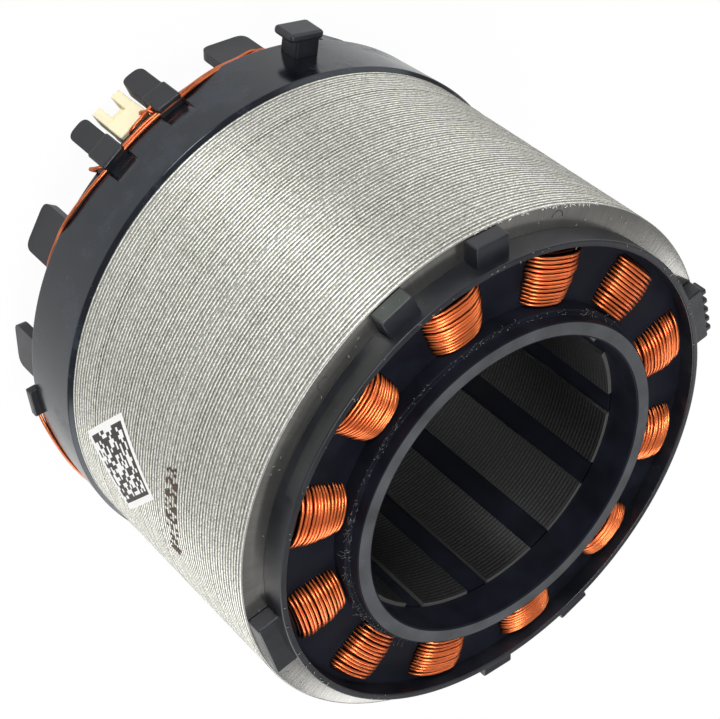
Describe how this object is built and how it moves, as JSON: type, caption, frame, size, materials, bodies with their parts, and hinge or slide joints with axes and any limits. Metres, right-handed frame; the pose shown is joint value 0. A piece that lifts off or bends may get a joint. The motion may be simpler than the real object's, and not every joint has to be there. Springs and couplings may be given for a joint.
{
  "type": "wound motor stator",
  "caption": "Wound stator of an inner-rotor brushless motor: laminated steel stack with black end insulators, a copper coil on each tooth and a cream connector housing.",
  "frame": {"origin": "on the rotor axis at the rear face of the lamination stack", "axes": "+Z along the rotor axis from the connector end to the front end, +X through the connector housing"},
  "size_m": [0.0668, 0.0662, 0.0555],
  "materials": {
    "electrical_steel": "bare stamped edges, fine lines between laminations",
    "black_nylon": "moulded, satin to glossy",
    "enamelled_copper": "clear enamel over copper",
    "copper_wire": "clear enamel over copper",
    "cream_plastic": "moulded, matte",
    "tinned_contact": "tin plated"
  },
  "bodies": {
    "root": {"lamination_stack": "electrical_steel", "front_insulator": "black_nylon", "rear_insulator": "black_nylon", "coil_01": "enamelled_copper", "coil_02": "enamelled_copper", "coil_03": "enamelled_copper", "coil_04": "enamelled_copper", "coil_05": "enamelled_copper", "coil_06": "enamelled_copper", "coil_07": "enamelled_copper", "coil_08": "enamelled_copper", "coil_09": "enamelled_copper", "coil_10": "enamelled_copper", "coil_11": "enamelled_copper", "coil_12": "enamelled_copper", "connector_housing": "cream_plastic", "contact_1": "tinned_contact", "contact_2": "tinned_contact", "crossover_wire_1": "copper_wire", "crossover_wire_2": "copper_wire", "crossover_wire_3": "copper_wire", "crossover_wire_4": "copper_wire", "crossover_wire_5": "copper_wire"}
  },
  "joints": []
}
